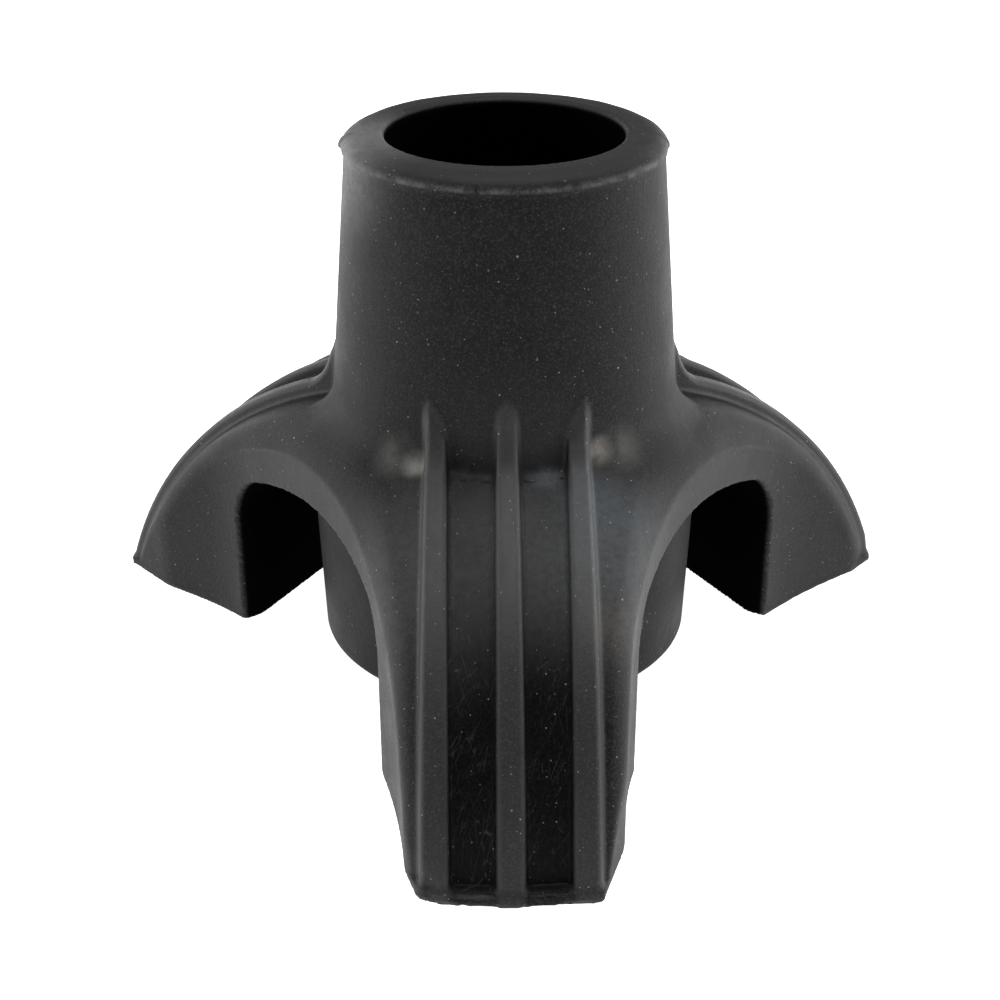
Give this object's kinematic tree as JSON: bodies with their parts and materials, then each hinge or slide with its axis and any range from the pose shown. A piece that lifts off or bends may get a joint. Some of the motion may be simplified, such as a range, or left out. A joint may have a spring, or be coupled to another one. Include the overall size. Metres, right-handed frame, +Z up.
{
  "type": "cane tip",
  "caption": "Rubber tripod tip for a walking cane: a tapered sleeve with a blind shaft socket, a centre pad and ribbed, arched legs that flex at their necks.",
  "frame": {"origin": "centre of the cane's seat, where the end of the shaft rests on the washer at the bottom of the socket", "axes": "+Z up along the cane's axis, -Y along the front leg, +X to the right of the front leg as seen from the front"},
  "size_m": [0.0718, 0.0631, 0.0462],
  "materials": {
    "black_rubber": "matt moulded rubber with a slight satin sheen",
    "zinc_steel": "zinc plated, dull"
  },
  "bodies": {
    "hub": {"rubber_hub": "black_rubber", "steel_washer": "zinc_steel"},
    "front_leg": {"front_leg": "black_rubber"},
    "rear_right_leg": {"rear_right_leg": "black_rubber"},
    "rear_left_leg": {"rear_left_leg": "black_rubber"}
  },
  "joints": [
    {"name": "front_leg_flex", "type": "hinge", "parent": "hub", "child": "front_leg", "pos_m": [0, -0.0135, 0.005], "axis": [-1, 0, 0], "range_deg": [-14, 12.4], "stiffness_Nm_per_rad": 0.6},
    {"name": "rear_right_leg_flex", "type": "hinge", "parent": "hub", "child": "rear_right_leg", "pos_m": [0.01169, 0.00675, 0.005], "axis": [0.5, -0.866, 0], "range_deg": [-14, 12.4], "stiffness_Nm_per_rad": 0.6},
    {"name": "rear_left_leg_flex", "type": "hinge", "parent": "hub", "child": "rear_left_leg", "pos_m": [-0.01169, 0.00675, 0.005], "axis": [0.5, 0.866, 0], "range_deg": [-14, 12.4], "stiffness_Nm_per_rad": 0.6}
  ]
}
